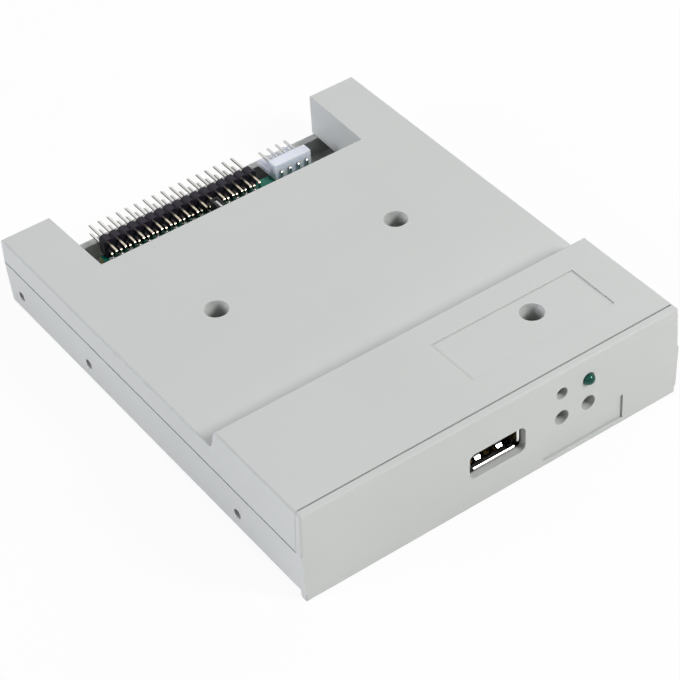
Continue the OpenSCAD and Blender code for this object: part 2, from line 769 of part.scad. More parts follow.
module usb_contacts() {
  back_y = usb_y + usb_l;
  color("Gold") seat() translate([usb_x, 0, 0])
    for (x = [-3.5, -1, 1, 3.5]) {
      along_x(x - 0.5, x + 0.5) polygon([
        [tongue_y + 0.7, usb_z - 0.15], [back_y + 0.2, usb_z - 0.15],
        [back_y + 0.2, usb_z - 0.6], [back_y + 0.45, usb_z - 0.6],
        [back_y + 0.45, usb_z + 0.03], [tongue_y + 0.7, usb_z + 0.03]]);
      block([x - 0.2, back_y + 0.2, lead_z], [x + 0.2, back_y + 0.45, usb_z - 0.6]);
    }
}

module status_led() {
  color("DarkSlateGray") seat() {
    translate([button_xs[1], led_d / 2 - led_proud, led_z]) sphere(d = led_d);
    bar_y(button_xs[1], led_z, led_d, led_d / 2 - led_proud, 4.2);
    bar_y(button_xs[1], led_z, led_d + 0.8, 4, 5);
  }
}

module led_leads() {
  color("LightGray") seat()
    for (s = [-1, 1])
      translate([button_xs[1] + s * 1.27, 0, 0]) along_x(-0.25, 0.25)
        polygon(bent_lead(5, switch_y + switch_l + 1.6, led_z, lead_z, 0.5));
}

module push_button(x) {
  collar_y = switch_y + frame_t + 0.05;
  bar_y(x, switch_z, button_d, button_y, collar_y + 0.2);
  bar_y(x, switch_z, button_d + 0.8, collar_y, collar_y + 0.55);
}

module up_button() {
  color("Black") seat() push_button(button_xs[0]);
}

module down_button() {
  color("Black") seat() push_button(button_xs[1]);
}

module switch_bases() {
  front_y = switch_y + frame_t;
  color("DimGray") seat()
    for (x = button_xs)
      difference() {
        block([x - switch_w / 2, front_y, switch_z - switch_w / 2],
              [x + switch_w / 2, switch_y + switch_l, switch_z + switch_w / 2]);
        bar_y(x, switch_z, switch_w - 1, front_y - 1, front_y + 1.3 + button_travel);
      }
}

module switch_frames() {
  color("LightGray") seat()
    for (x = button_xs) {
      difference() {
        block([x - switch_w / 2 - frame_t, switch_y, switch_z - switch_w / 2 + 0.1],
              [x + switch_w / 2 + frame_t, switch_y + frame_t, switch_z + switch_w / 2]);
        bar_y(x, switch_z, button_d + 2 * button_gap, switch_y - 1, switch_y + 1);
      }
      translate([x, 0, 0]) for (s = [-1, 1])
        on_side(s) {
          block([switch_w / 2, switch_y, switch_z - switch_w / 2 + 0.1],
                [switch_w / 2 + frame_t, switch_y + 2.4, switch_z + switch_w / 2]);
          block([switch_w / 2, switch_y + 1, lead_z],
                [switch_w / 2 + frame_t, switch_y + 1.8, switch_z]);
        }
    }
}

module switch_domes() {
  r = switch_w / 2 - 0.7;
  // Each dome is drawn pressed, so that its button's full travel stays free
  floor_y = switch_y + frame_t + 1.3 + button_travel;
  color("Silver") seat()
    for (x = button_xs)
      translate([x, floor_y, switch_z]) rotate([90, 0, 0]) rotate_extrude()
        polygon([[0, 0.65], [r * 0.5, 0.55], [r, 0.12], [r, 0], [r - 0.1, 0],
                 [r * 0.5 - 0.05, 0.43], [0, 0.53]]);
}

module switch_pins() {
  color("LightGray") seat()
    for (x = button_xs)
      for (s = [-1, 1])
        block([x + s * 1.6 - 0.25, switch_y + switch_l - 0.75, lead_z],
              [x + s * 1.6 + 0.25, switch_y + switch_l - 0.25, board_top]);
}

module header_body() {
  n = header_pins;
  low = low_pin_z - header_pitch / 2;
  high = high_pin_z + header_pitch / 2;
  edge = header_x - n * header_pitch / 2;
  color("DarkSlateGray") seat() difference() {
    along_y(header_front, header_back) polygon(concat(
      [for (i = [0 : n - 1]) for (p = [[0, vee], [vee, 0], [header_pitch - vee, 0]])
        [edge + i * header_pitch + p[0], low + p[1]]],
      [[edge + n * header_pitch, low + vee]],
      [for (i = [n - 1 : -1 : 0]) for (p = [[header_pitch, vee], [header_pitch - vee, 0], [vee, 0]])
        [edge + i * header_pitch + p[0], high - p[1]]],
      [[edge, high - vee]]));
    for (i = [0 : n - 1])
      for (z = [low_pin_z, high_pin_z])
        translate([header_x + row_at(i, n, header_pitch), 0, z])
          along_y(header_front - 1, header_back + 1) square(pin_w + 0.04, center = true);
  }
}

module header_upper_pins() {
  color("Gold") seat()
    for (i = [0 : header_pins - 1])
      translate([header_x + row_at(i, header_pins, header_pitch), 0, 0])
        along_x(-pin_w / 2, pin_w / 2)
          polygon(bent_lead(tip_y, high_leg_y, high_pin_z, lead_z, pin_w));
}

module header_lower_pins() {
  color("Gold") seat()
    for (i = [0 : header_pins - 1])
      translate([header_x + row_at(i, header_pins, header_pitch), 0, 0])
        along_x(-pin_w / 2, pin_w / 2)
          polygon(bent_lead(tip_y, low_leg_y, low_pin_z, lead_z, pin_w));
}

module power_housing() {
  plate_z = board_top + power_plate;
  color("AliceBlue") seat() difference() {
    translate([power_x, 0, 0]) {
      along_x(-power_w / 2, power_w / 2) polygon([
        [power_y, board_top], [case_l - power_rear, board_top], [case_l - power_rear, plate_z],
        [power_y + power_block, plate_z], [power_y + power_block, board_top + power_h],
        [power_y, board_top + power_h]]);
      // Two ribs that guide the plug
      for (s = [-1, 1])
        translate([s * power_w / 4, 0, 0])
          block([-0.5, power_y + power_block - 0.5, plate_z - 0.5],
                [0.5, case_l - power_rear, plate_z + 0.4]);
    }
    for (i = [0 : power_pins_n - 1])
      translate([power_x + row_at(i, power_pins_n, power_pitch), 0, power_z])
        along_y(power_y - 1, power_y + power_block + 1) square(pin_w + 0.04, center = true);
  }
}

module power_pins() {
  color("LightGray") seat()
    for (i = [0 : power_pins_n - 1])
      translate([power_x + row_at(i, power_pins_n, power_pitch), 0, 0])
        along_x(-pin_w / 2, pin_w / 2)
          polygon(bent_lead(tip_y - 0.8, power_leg_y, power_z, lead_z, pin_w));
}

module jumper_base() {
  color("DimGray") seat() translate([jumper_x, jumper_y, board_top]) difference() {
    block([-jumper_w / 2, -jumper_l / 2, 0], [jumper_w / 2, jumper_l / 2, jumper_base_h]);
    for (s = [-1, 1])
      translate([0, s * post_pitch / 2, jumper_base_h / 2])
        cube([pin_w + 0.04, pin_w + 0.04, jumper_base_h + 2], center = true);
  }
}

module jumper_posts() {
  post_top = board_top + jumper_base_h + cap_h - post_drop;
  color("Gold") seat()
    for (s = [-1, 1])
      translate([jumper_x, jumper_y + s * post_pitch / 2, 0])
        block([-pin_w / 2, -pin_w / 2, lead_z], [pin_w / 2, pin_w / 2, post_top]);
}

module jumper_cap() {
  color("Black") seat()
    translate([jumper_x, jumper_y, board_top + jumper_base_h]) difference() {
      block([-jumper_w / 2, -jumper_l / 2, 0], [jumper_w / 2, jumper_l / 2, cap_h]);
      block([-clip_out, -clip_l / 2, -1], [clip_out, clip_l / 2, cap_h + 1]);
    }
}

// A folded strip: a leaf on each side of the posts, a bridge over them and a ridge on the bridge
module jumper_clip() {
  bridge_z = cap_h - post_drop + 2 * post_gap;
  color("LightGray") seat() translate([jumper_x, jumper_y, board_top + jumper_base_h]) {
    for (s = [-1, 1])
      on_side(s) block([clip_in, -clip_l / 2, 0.6], [clip_out, clip_l / 2, bridge_z + clip_t]);
    block([-clip_out, -clip_l / 2, bridge_z], [clip_out, clip_l / 2, bridge_z + clip_t]);
    block([-clip_t, -clip_l / 3, bridge_z], [clip_t, clip_l / 3, cap_h - 0.15]);
  }
}

module controller_chip() {
  color("DimGray") seat() translate([0, chip_y, board_top])
    block([-chip_w / 2, -chip_w / 2, 0.1], [chip_w / 2, chip_w / 2, 1.5]);
}

module controller_leads() {
  color("LightGray") seat() translate([0, chip_y, board_top])
    for (a = [0 : 90 : 270])
      for (i = [0 : chip_leads_n - 1])
        rotate(a) translate([0, chip_w / 2, 0])
          translate([row_at(i, chip_leads_n, chip_pitch), 0, 0])
            along_x(-0.11, 0.11) polygon(gull_lead(1, 0.8, 0.15));
}

module crystal() {
  color("Silver") seat() translate([-14.5, chip_y, board_top]) {
    for (s = [-1, 1])
      translate([0, s * 3.2, 0]) cylinder(d = 4.6, h = 3.5);
    block([-2.3, -3.2, 0], [2.3, 3.2, 3.5]);
  }
}

module voltage_regulator() {
  color("DimGray") seat() translate([14, screw_rear_y + 19, board_top])
    block([-3.25, -1.75, 0.1], [3.25, 1.75, 1.7]);
}

module regulator_leads() {
  color("LightGray") seat() translate([14, screw_rear_y + 19, board_top]) {
    for (i = [0 : 2])
      translate([row_at(i, 3, 2.3), -1.75, 0]) mirror([0, 1, 0])
        along_x(-0.35, 0.35) polygon(gull_lead(1.75, 0.9, 0.25));
    translate([0, 1.75, 0]) along_x(-1.5, 1.5) polygon(gull_lead(1.75, 0.9, 0.25));
  }
}

module capacitor_bases() {
  color("DimGray") seat()
    for (x = [-15, 23])
      translate([x, screw_rear_y + 21, board_top])
        block([-can_d / 2 - 0.15, -can_d / 2 - 0.15, 0], [can_d / 2 + 0.15, can_d / 2 + 0.15, 0.8]);
}

module capacitor_cans() {
  color("Silver") seat()
    for (x = [-15, 23])
      translate([x, screw_rear_y + 21, board_top + 0.8]) cylinder(d = can_d, h = can_h);
}

module chip_resistors() {
  color("DimGray") seat()
    for (i = [0 : resistors_n - 1])
      translate([-24 + i * 3.2, board_end - 15.4, board_top])
        block([-0.65, -1, 0], [0.65, 1, 0.55]);
}

module chip_capacitors() {
  color("Tan") seat()
    for (a = [45 : 90 : 315])
      translate([0, chip_y, board_top]) rotate(a) translate([chip_w / 2 * sqrt(2) + 2, 0, 0])
        for (s = [-1, 1])
          translate([0, s * 1.1, 0]) block([-0.8, -0.4, 0], [0.8, 0.4, 0.8]);
}

lower_case();
top_cover();
case_screws();
main_board();
usb_shell();
usb_insulator();
usb_contacts();
status_led();
led_leads();
up_button();
down_button();
switch_bases();
switch_frames();
switch_domes();
switch_pins();
header_body();
header_upper_pins();
header_lower_pins();
power_housing();
power_pins();
jumper_base();
jumper_posts();
jumper_cap();
jumper_clip();
controller_chip();
controller_leads();
crystal();
voltage_regulator();
regulator_leads();
capacitor_cans();
capacitor_bases();
chip_resistors();
chip_capacitors();
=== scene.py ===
# %% [markdown]
# # A floppy drive emulator
# The object is a light grey box in the size of a 3.5-inch floppy drive, with a USB socket where the
# disk slot would be. Its solids come from a CAD model and are loaded below as a fixed frame. Blender
# adds what CAD can't give: broken edges, solder, moulded plastic, plated metal and soft light.
# Everything is in metres, and sizes are written in millimetres times `MM`.

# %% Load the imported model
from math import atan2, cos, degrees, pi, radians, sin

import bmesh
import bpy
from mathutils import Matrix, Vector


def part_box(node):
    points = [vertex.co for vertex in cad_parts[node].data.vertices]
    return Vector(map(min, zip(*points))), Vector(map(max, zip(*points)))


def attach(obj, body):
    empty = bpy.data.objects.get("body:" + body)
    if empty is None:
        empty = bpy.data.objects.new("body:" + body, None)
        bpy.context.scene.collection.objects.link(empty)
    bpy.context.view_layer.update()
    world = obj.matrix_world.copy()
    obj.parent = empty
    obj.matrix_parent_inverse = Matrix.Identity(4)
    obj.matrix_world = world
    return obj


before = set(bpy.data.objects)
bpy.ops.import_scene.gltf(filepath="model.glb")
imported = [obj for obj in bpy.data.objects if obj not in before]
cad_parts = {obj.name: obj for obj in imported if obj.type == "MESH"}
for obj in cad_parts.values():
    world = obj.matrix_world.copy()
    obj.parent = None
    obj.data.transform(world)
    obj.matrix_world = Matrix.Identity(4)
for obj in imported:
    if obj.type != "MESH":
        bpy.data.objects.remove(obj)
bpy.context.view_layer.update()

MM = 0.001

# %% [markdown]
# ## Camera
# The photograph was taken with a long lens from above the front left corner. A camera can be aimed
# with a Track To constraint, but a constraint can't hold the picture's small roll. So the camera's
# three axes are worked out and written straight into its matrix.

# %% Camera
AZIMUTH, ELEVATION, ROLL = radians(-33.39), radians(41.82), radians(-3.8)
AIM = Vector((-1.56, -4.6, 6.56)) * MM
DISTANCE = 541.54 * MM
FOCAL_PIXELS, IMAGE_PIXELS, SENSOR_MM = 2387.09, 680, 36

back = Vector((sin(AZIMUTH) * cos(ELEVATION), -cos(AZIMUTH) * cos(ELEVATION), sin(ELEVATION)))
level = Vector((cos(AZIMUTH), sin(AZIMUTH), 0))
right = cos(ROLL) * level + sin(ROLL) * back.cross(level)
up = back.cross(right)

lens = bpy.data.cameras.new("photo_lens")
lens.sensor_width = SENSOR_MM
lens.lens = FOCAL_PIXELS * SENSOR_MM / IMAGE_PIXELS
camera = bpy.data.objects.new("photo_camera", lens)
turn = Matrix((right, up, back)).transposed().to_4x4()
camera.matrix_world = Matrix.Translation(AIM + back * DISTANCE) @ turn
bpy.context.scene.collection.objects.link(camera)
bpy.context.scene.camera = camera
bpy.context.scene.view_settings.view_transform = "Standard"
print("lens in mm", round(lens.lens, 1))

# %% [markdown]
# ## Colours and nodes
# A colour picker shows sRGB values, but shaders count in linear light, so one function turns a hex
# colour into linear numbers. A second one adds a node, sets it and links it, which keeps each
# material below down to what is special about it. Soft light from few lamps leaves holes and corners
# too bright, so a third one paints shade into them: the Ambient Occlusion node tells how much open
# air a spot sees, whatever the camera does, and the colour and the sheen go down with it, as painted
# shade and a painted dimming of reflections.

# %% Helpers for materials
NOOK_RAYS = 6


def linear(hex_colour):
    """An sRGB hex colour as linear red, green, blue and alpha."""
    parts = [int(hex_colour[i:i + 2], 16) / 255 for i in (1, 3, 5)]
    return [c / 12.92 if c <= 0.04045 else ((c + 0.055) / 1.055) ** 2.4 for c in parts] + [1.0]


def add(tree, kind, sockets=None, **settings):
    """Adds a node. Each socket gets a value, or a link where the value is another node's socket."""
    made = tree.nodes.new("ShaderNode" + kind)
    for name, value in settings.items():
        setattr(made, name, value)
    join(tree, made, sockets or {})
    return made


def join(tree, made, sockets):
    """Sets the sockets of a node that is there already, or links them."""
    for socket, value in sockets.items():
        if isinstance(value, bpy.types.NodeSocket):
            tree.links.new(value, made.inputs[socket])
        else:
            made.inputs[socket].default_value = value


def start(name, colour, roughness, **sockets):
    """A new material with its shader, and places on the object counted in millimetres."""
    made = bpy.data.materials.new(name)
    made.use_nodes = True
    tree = made.node_tree
    tree.nodes.clear()
    shader = add(tree, "BsdfPrincipled", {"Base Color": linear(colour), "Roughness": roughness})
    join(tree, shader, {key.replace("_", " "): value for key, value in sockets.items()})
    add(tree, "OutputMaterial", {"Surface": shader.outputs[0]})
    place = add(tree, "TexCoord").outputs["Object"]
    in_mm = add(tree, "VectorMath", {0: place, 1: (1 / MM,) * 3}, operation="MULTIPLY").outputs[0]
    return made, tree, shader, in_mm


def paint_nook_shade(tree, shader, colour, sheen, nooks):
    """Paints shade into colour and sheen: both go down in holes and corners, by how little open air they
    see.

    Each nook is a reach in mm, the openness above which nothing darkens, and the share left with none.
    """
    for reach_mm, clear, least in nooks:
        nook = add(tree, "AmbientOcclusion", {"Distance": reach_mm * MM}, samples=NOOK_RAYS)
        share = add(tree, "MapRange", {"Value": nook.outputs["AO"], "From Max": clear, "To Min": least})
        colour = add(tree, "VectorMath", {0: colour, 3: share.outputs[0]}, operation="SCALE").outputs[0]
        sheen = add(tree, "Math", {0: sheen, 1: share.outputs[0]}, operation="MULTIPLY").outputs[0]
    join(tree, shader, {"Base Color": colour, "Specular IOR Level": sheen})


# %% [markdown]
# ## Background and light
# The picture has a white background and very even light: the top, the front and the left side are
# almost equally bright. The world could give all of it, but then every hole would be bright too. So
# the world gives only a trace, and lamps the rest. What the camera, and a shiny surface, see of the
# world is plain white, which the Light Path node picks out, with no more light on the object.

# %% World
WORLD_STRENGTH = 0.03
world = bpy.data.worlds.new("white_studio")
world.use_nodes = True
bpy.context.scene.world = world
tree = world.node_tree
tree.nodes.clear()


def seen_directly(tree):
    """1 for rays that show the background itself, 0 for those that only gather light."""
    path = add(tree, "LightPath").outputs
    both = add(tree, "Math", {0: path["Is Camera Ray"], 1: path["Is Glossy Ray"]}, operation="MAXIMUM")
    through = path["Is Transmission Ray"]
    return add(tree, "Math", {0: both.outputs[0], 1: through}, operation="MAXIMUM").outputs[0]


light = add(tree, "Background", {"Color": linear("#FFFFFF"), "Strength": WORLD_STRENGTH})
white = add(tree, "Background", {"Color": linear("#FFFFFF"), "Strength": 1.0})
mixed = add(tree, "MixShader", {0: seen_directly(tree), 1: light.outputs[0], 2: white.outputs[0]})
add(tree, "OutputWorld", {"Surface": mixed.outputs[0]})
print("world strength", WORLD_STRENGTH)

# %% [markdown]
# ## Floor
# The drive doesn't lie flat: the lip of its front panel hangs 2 mm below the case, so it rests on the
# lip and on its rear edge. A level floor under its lowest point would leave the rear edge in the air,
# so the floor is laid against those two lines. Seen from the side, they are the two ends of that
# edge of the case's lower hull which spans its middle.

# %% Floor
FLOOR_SIZE = 8.0
FLOOR_WHITE = 0.93


def turns_up(a, b, c):
    """True where the way from a over b to c turns upwards, seen from the side."""
    return (b[0] - a[0]) * (c[1] - a[1]) > (b[1] - a[1]) * (c[0] - a[0])


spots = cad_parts["lower_case"].data.vertices
outline = sorted({(round(v.co.y, 7), round(v.co.z, 7)) for v in spots})
hull = []
for spot in outline:
    while len(hull) > 1 and not turns_up(hull[-2], hull[-1], spot):
        hull.pop()
    hull.append(spot)
front_foot, rear_foot = next((a, b) for a, b in zip(hull, hull[1:]) if a[0] < 0 < b[0])
tilt = atan2(rear_foot[1] - front_foot[1], rear_foot[0] - front_foot[0])

half = FLOOR_SIZE / 2
plane = bpy.data.meshes.new("floor")
corners = [(-half, -half, 0), (half, -half, 0), (half, half, 0), (-half, half, 0)]
plane.from_pydata(corners, [], [(0, 1, 2, 3)])
floor = bpy.data.objects.new("floor", plane)
floor.location = (0, front_foot[0], front_foot[1])
floor.rotation_euler = (tilt, 0, 0)
bpy.context.scene.collection.objects.link(floor)

paper = bpy.data.materials.new("white_paper_sweep")
paper.use_nodes = True
tree = paper.node_tree
tree.nodes.clear()
sheet = add(tree, "BsdfDiffuse", {"Color": linear("#F6F6F6")})
glow = add(tree, "Emission", {"Color": linear("#FFFFFF"), "Strength": 1.0})
share = add(tree, "Math", {0: seen_directly(tree), 1: FLOOR_WHITE}, operation="MULTIPLY")
mixed = add(tree, "MixShader", {0: share.outputs[0], 1: sheet.outputs[0], 2: glow.outputs[0]})
add(tree, "OutputMaterial", {"Surface": mixed.outputs[0]})
plane.materials.append(paper)
print("the drive rests at a tilt of", round(degrees(tilt), 2), "degrees")

# %% [markdown]
# ## Lamps
# One large lamp overhead would light the top well, but the floor of every hole too. So four soft boxes
# stand around the case, none of them overhead: they light the upright faces and the top alike, and
# hardly reach down into the holes and the notch. The front one stands to the right, so it leaves the
# right wall of each hole dark and makes the bright spot on the LED. The left one is a little blue.

# %% Lamps
LAMPS = {
    # name: direction, distance in m, size in m, power in W, colour
    "front_softbox": ((0.42, -0.66, 0.62), 1.6, 0.5, 18.5, "#FFFFFF"),
    "left_softbox": ((-0.9, 0.2, 0.42), 1.6, 0.8, 16.4, "#F6F7FF"),
    "right_softbox": ((0.9, 0.2, 0.42), 1.6, 0.8, 12.3, "#FFFFFF"),
    "rear_softbox": ((0.1, 0.9, 0.42), 1.6, 0.8, 2.9, "#FFFFFF"),
}
for name, (towards, distance, size, power, tint) in LAMPS.items():
    lamp = bpy.data.lights.new(name, "AREA")
    lamp.size = size
    lamp.energy = power
    lamp.color = linear(tint)[:3]
    holder = bpy.data.objects.new(name, lamp)
    direction = Vector(towards).normalized()
    holder.location = direction * distance
    holder.rotation_euler = direction.to_track_quat("Z", "Y").to_euler()
    bpy.context.scene.collection.objects.link(holder)
print("lamps", list(LAMPS))

# %% [markdown]
# ## Case plastic
# The two shells are ABS, moulded in a tool that was spark eroded, which leaves a fine even grain and
# a soft shine. One flat colour would look like paper. So the grey drifts a little over centimetres,
# the grain is a bump, and a few specks of dust lie on it.

# %% ABS, moulded in a spark-eroded tool: pale grey, satin, a grain that breaks up the highlights
GRAIN_MM = 0.45  # the real grain is near 0.1 mm, too fine to show, so it is drawn coarser
GRAIN_DEPTH = 0.012 * MM
CLOUD_MM = 38
SPECK_SPACING_MM, SPECK_RADIUS_MM = 16, 0.22
SPECK_CORE, SPECK_SHARE = 0.4, 0.35  # the full-dark share of a speck's radius, and how dark it gets
SATIN_FROM, SATIN_TO = 0.46, 0.64
CASE_SHEEN = 0.3
# Painted shade in deep holes and in fine grooves, with less sheen there.
CASE_NOOK_SHADE = [(8.0, 0.20, 0.50), (0.8, 0.95, 0.80)]  # deep holes, and fine grooves

case_plastic, tree, shader, at = start("ABS_moulded_spark_eroded", "#CBCDCB", 0.55, IOR=1.53)
cloud = add(tree, "TexNoise", {"Vector": at, "Scale": 1 / CLOUD_MM, "Detail": 3.0})
drift = add(tree, "Mix", {0: cloud.outputs[0], 6: linear("#C8CAC7"), 7: linear("#D0D2CF")}, data_type="RGBA")
dust = add(tree, "TexVoronoi", {"Vector": at, "Scale": 1 / SPECK_SPACING_MM})
speck = add(tree, "MapRange", {
    "Value": dust.outputs["Distance"],
    "From Min": SPECK_RADIUS_MM / SPECK_SPACING_MM,
    "From Max": SPECK_CORE * SPECK_RADIUS_MM / SPECK_SPACING_MM,
    "To Min": 0.0, "To Max": SPECK_SHARE})
dusty = add(tree, "Mix", {0: speck.outputs[0], 6: drift.outputs[2], 7: linear("#9A9B96")}, data_type="RGBA")
grain = add(tree, "TexNoise", {"Vector": at, "Scale": 1 / GRAIN_MM, "Detail": 3.0, "Roughness": 0.65})
bump = add(tree, "Bump", {"Strength": 0.6, "Distance": GRAIN_DEPTH, "Height": grain.outputs[0]})
satin = add(tree, "MapRange", {"Value": grain.outputs[0], "To Min": SATIN_FROM, "To Max": SATIN_TO})
join(tree, shader, {"Normal": bump.outputs[0], "Roughness": satin.outputs[0]})
# Painted shade: the grey and its sheen go down in holes and grooves, which the lamps leave too bright.
paint_nook_shade(tree, shader, dusty.outputs[2], CASE_SHEEN, CASE_NOOK_SHADE)
print(case_plastic.name, "grain", GRAIN_MM, "mm")

# %% [markdown]
# ## Other plastics
# The header, the jumper, the switches and the chips are all black or nearly so, yet they don't look
# alike: glass-filled plastic is dull, acetal is smooth and epoxy has a fine sandy face. They differ
# in colour, in roughness and in the size of their grain, so one loop makes them from a table.

# %% Black plastics
BLACK_SHEEN = 0.2
ROUGH_SPREAD = 0.08  # how far the grain moves the roughness either way
PLASTICS = {
    # name: colour, lighter colour, roughness, index of refraction, grain in mm, depth in mm
    # The grain is drawn coarser than the real one, which is too fine to show.
    "PBT_glass_filled_moulded": ("#15121A", "#221D2A", 0.45, 1.50, 0.30, 0.010),  # dull, faintly violet
    "nylon_black_moulded": ("#0D0D0E", "#161617", 0.45, 1.50, 0.35, 0.008),  # deep black, a soft shine
    "acetal_black_moulded": ("#101011", "#171718", 0.35, 1.48, 0.50, 0.004),  # smooth and slick
    "epoxy_compound_moulded": ("#17181A", "#232427", 0.60, 1.58, 0.20, 0.012),  # charcoal, sandy
}
plastics = {}
for name, (dark, pale, rough, ior, grain_mm, depth) in PLASTICS.items():
    plastics[name], tree, shader, at = start(name, dark, rough, IOR=ior,
                                              Specular_IOR_Level=BLACK_SHEEN)
    grain = add(tree, "TexNoise", {"Vector": at, "Scale": 1 / grain_mm, "Detail": 3.0})
    tone = add(tree, "Mix", {0: grain.outputs[0], 6: linear(dark), 7: linear(pale)}, data_type="RGBA")
    satin = add(tree, "MapRange", {
        "Value": grain.outputs[0], "To Min": rough - ROUGH_SPREAD, "To Max": rough + ROUGH_SPREAD})
    bump = add(tree, "Bump", {"Strength": 0.6, "Distance": depth * MM, "Height": grain.outputs[0]})
    join(tree, shader, {"Base Color": tone.outputs[2], "Normal": bump.outputs[0]})
    join(tree, shader, {"Roughness": satin.outputs[0]})
print(list(plastics))

# %% [markdown]
# ## Nylon of the power connector
# Natural nylon is milky: light goes a little way in and comes out again, which softens its shadows.
# A pale colour by itself would look like chalk. So the shader's subsurface scattering is used, with
# a depth of a millimetre or so.

# %% Natural nylon, moulded: milky white with a cool cast
SCATTER_MM = (1.0, 1.1, 1.3)  # how far red, green and blue light go in
MILK_MM = 2.5
SKIN_MM, SKIN_DEPTH = 0.4, 0.006 * MM  # the real skin is finer, too fine to show
white_nylon, tree, shader, at = start("nylon_natural_moulded", "#E7EBFD", 0.42, IOR=1.53,
                                      Subsurface_Weight=1.0, Subsurface_Radius=SCATTER_MM,
                                      Subsurface_Scale=MM)
milk = add(tree, "TexNoise", {"Vector": at, "Scale": 1 / MILK_MM, "Detail": 2.0})
tone = add(tree, "Mix", {0: milk.outputs[0], 6: linear("#E2E6FB"), 7: linear("#ECEFFF")}, data_type="RGBA")
skin = add(tree, "TexNoise", {"Vector": at, "Scale": 1 / SKIN_MM, "Detail": 2.0})
bump = add(tree, "Bump", {"Strength": 0.5, "Distance": SKIN_DEPTH, "Height": skin.outputs[0]})
join(tree, shader, {"Base Color": tone.outputs[2], "Normal": bump.outputs[0]})
print(white_nylon.name, "light goes in by mm", SCATTER_MM)

# %% [markdown]
# ## LED lens
# The lens is cast from epoxy that is tinted green. It is dark, and paler low and to the left, where
# light comes through the tinted epoxy. That paler green is painted light: a gradient on the lens,
# away from the lower left front corner of its box. The cup could be modelled inside a clear lens, but so
# little of it shows that a gradient on the lens stands for it.

# %% Tinted epoxy, cast: dark green, wet and smooth
# Painted light: the pale green fades from the first distance to the second, counted from the lens's lower
# left front corner.
GLOW_NEAR_MM, GLOW_FAR_MM = 0.6, 2.6  # where the cup's pale green begins to fade, and is gone
FLOW_MM, FLOW_DEPTH = 0.8, 0.004 * MM
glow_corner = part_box("status_led")[0] / MM
led_epoxy, tree, shader, at = start("epoxy_green_cast", "#1C4A3F", 0.16, IOR=1.55,
                                    Specular_Tint=linear("#9CFFEB"))
glow_distance = add(tree, "VectorMath", {0: at, 1: tuple(glow_corner)}, operation="DISTANCE")
depth = add(tree, "MapRange", {
    "Value": glow_distance.outputs["Value"], "From Min": GLOW_NEAR_MM, "From Max": GLOW_FAR_MM})
# Painted light: paler green near that corner, dark green away from it.
tone = add(tree, "Mix", {0: depth.outputs[0], 6: linear("#1E6756"), 7: linear("#0B352B")}, data_type="RGBA")
flow = add(tree, "TexNoise", {"Vector": at, "Scale": 1 / FLOW_MM})
bump = add(tree, "Bump", {"Strength": 0.2, "Distance": FLOW_DEPTH, "Height": flow.outputs[0]})
join(tree, shader, {"Base Color": tone.outputs[2], "Normal": bump.outputs[0]})
print(led_epoxy.name)

# %% [markdown]
# ## Circuit board
# The board is glass laminate under a green lacquer that lets the copper show through as a paler
# green. Its cut edge is the bare laminate. Tracks could be drawn one by one, but little of the board
# shows. So they are stripes along it, switched on and off by a coarse pattern of cells, which read as
# wiring and not as a regular grid.

# %% Glass laminate under solder mask: teal green, glossy, paler over the copper
TRACK_PITCH_MM, TRACK_MM = 1.27, 0.3
CELL_MM, WIRED_FROM = 9, 0.45  # a cell carries tracks if its random value is above this
WEAVE_MM, RELIEF_DEPTH = 0.6, 0.02 * MM
LEVEL_FROM = 0.5  # a face whose normal rises less than this is the cut edge
LACQUER_ROUGH, BARE_ROUGH = 0.28, 0.75
LACQUER_SHEEN = 0.25
# Painted shade beside tall parts and between legs, with less sheen there.
BOARD_NOOK_SHADE = [(8.0, 0.55, 0.05), (3.0, 0.80, 0.05)]  # beside tall parts, and between legs
board_laminate, tree, shader, at = start("glass_laminate_solder_mask", "#1A6F5E", 0.32, IOR=1.5)
split = add(tree, "SeparateXYZ", {0: at})
phase = add(tree, "Math", {0: split.outputs["X"], 1: TRACK_PITCH_MM}, operation="PINGPONG")
track = add(tree, "Math", {0: phase.outputs[0], 1: TRACK_MM / 2}, operation="LESS_THAN")
cells = add(tree, "TexVoronoi", {"Vector": at, "Scale": 1 / CELL_MM}, distance="MANHATTAN")
cell = add(tree, "SeparateColor", {0: cells.outputs["Color"]})
wired = add(tree, "Math", {0: cell.outputs[0], 1: WIRED_FROM}, operation="GREATER_THAN")
copper = add(tree, "Math", {0: track.outputs[0], 1: wired.outputs[0]}, operation="MULTIPLY")
lacquer = add(tree, "Mix", {0: copper.outputs[0], 6: linear("#1C8A74"), 7: linear("#2F9C86")},
              data_type="RGBA")
facing = add(tree, "SeparateXYZ", {0: add(tree, "NewGeometry").outputs["Normal"]})
upright = add(tree, "Math", {0: facing.outputs["Z"]}, operation="ABSOLUTE")
edge = add(tree, "Math", {0: upright.outputs[0], 1: LEVEL_FROM}, operation="LESS_THAN")
tone = add(tree, "Mix", {0: edge.outputs[0], 6: lacquer.outputs[2], 7: linear("#8E8A55")}, data_type="RGBA")
weave = add(tree, "TexNoise", {"Vector": at, "Scale": 1 / WEAVE_MM})
relief = add(tree, "Math", {0: copper.outputs[0], 1: weave.outputs[0]}, operation="ADD")
bump = add(tree, "Bump", {"Strength": 0.5, "Distance": RELIEF_DEPTH, "Height": relief.outputs[0]})
gloss = add(tree, "MapRange", {"Value": edge.outputs[0], "To Min": LACQUER_ROUGH, "To Max": BARE_ROUGH})
join(tree, shader, {"Normal": bump.outputs[0], "Roughness": gloss.outputs[0]})
# Painted shade: the lacquer goes darker and less shiny beside tall parts and between the legs.
paint_nook_shade(tree, shader, tone.outputs[2], LACQUER_SHEEN, BOARD_NOOK_SHADE)
print(board_laminate.name, "tracks every", TRACK_PITCH_MM, "mm")

# %% [markdown]
# ## Plated metals
# Metal parts here are stamped, drawn or turned, then plated. All keep the shader's default index of
# refraction: a metal's colour does that work. Rolling and drawing leave fine lines along one axis,
# which is noise stretched along that axis. The shader's anisotropy could stretch the highlights
# instead, but no line of its own would show. A table holds the colour and the lines of each metal.

